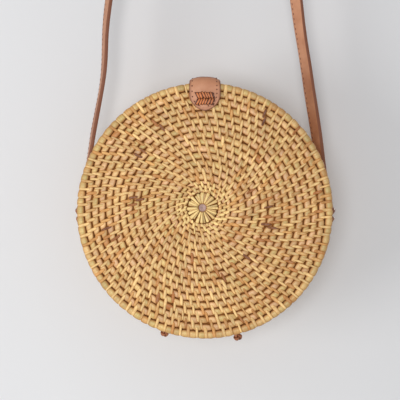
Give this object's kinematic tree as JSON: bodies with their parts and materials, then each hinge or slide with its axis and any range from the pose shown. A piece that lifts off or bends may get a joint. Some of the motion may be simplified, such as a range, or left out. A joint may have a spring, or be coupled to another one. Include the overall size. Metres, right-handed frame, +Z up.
{
  "type": "circle bag",
  "caption": "Round hard-sided shoulder bag of coiled woven cane in two hinged halves, with a cotton lining, a laced leather tab closure and a long leather strap.",
  "frame": {"origin": "on the axis of the peg that carries the strap, midway across the strap's width", "axes": "+X to the wearer's right as the front disc is seen, +Y from the front disc to the back disc, along the peg, +Z up"},
  "size_m": [0.2156, 0.0862, 0.7194],
  "materials": {
    "cane": "woven natural cane, satin",
    "cane_wrap": "smooth wrapped cane, satin",
    "cane_pale": "pale cane spokes, satin",
    "lining": "plain cotton, matte",
    "leather": "vegetable tanned, smooth, burnished edges",
    "thong": "dark waxed thong, slightly glossy",
    "snap_metal": "plated, satin"
  },
  "bodies": {
    "strap": {"strap_crown": "leather", "strap_left_run": "leather", "strap_right_run": "leather"},
    "back_half": {"back_disc": "cane", "back_rosette": "cane_pale", "back_rim_hoop": "cane_wrap", "back_wall": "cane", "back_mouth_hoop": "cane_wrap", "back_lining": "lining", "gusset_left": "lining", "gusset_right": "lining", "wall_snap": "snap_metal", "strap_left_end": "leather", "strap_right_end": "leather", "strap_left_lacing": "thong", "strap_right_lacing": "thong", "hinge_tie_left_back": "thong", "hinge_tie_right_back": "thong"},
    "front_half": {"front_disc": "cane", "front_rosette": "cane_pale", "front_rim_hoop": "cane_wrap", "front_wall": "cane", "front_mouth_hoop": "cane_wrap", "front_lining": "lining", "tab_anchor": "leather", "tab_lacing": "thong", "hinge_tie_left_front": "thong", "hinge_tie_right_front": "thong"},
    "flap": {"tab_flap": "leather", "tab_snap": "snap_metal"}
  },
  "joints": [
    {"name": "strap_swing", "type": "hinge", "parent": "strap", "child": "back_half", "pos_m": [0, 0.01425, -0.58518], "axis": [1, 0, 0], "range_deg": [-25, 25]},
    {"name": "shell_hinge", "type": "hinge", "parent": "back_half", "child": "front_half", "pos_m": [0, 0, -0.6998], "axis": [1, 0, 0], "range_deg": [0, 35], "deforming": ["gusset_left", "gusset_right"]},
    {"name": "tab_lift", "type": "hinge", "parent": "front_half", "child": "flap", "pos_m": [0, -0.0356, -0.4952], "axis": [1, 0, 0], "range_deg": [0, 130]}
  ]
}
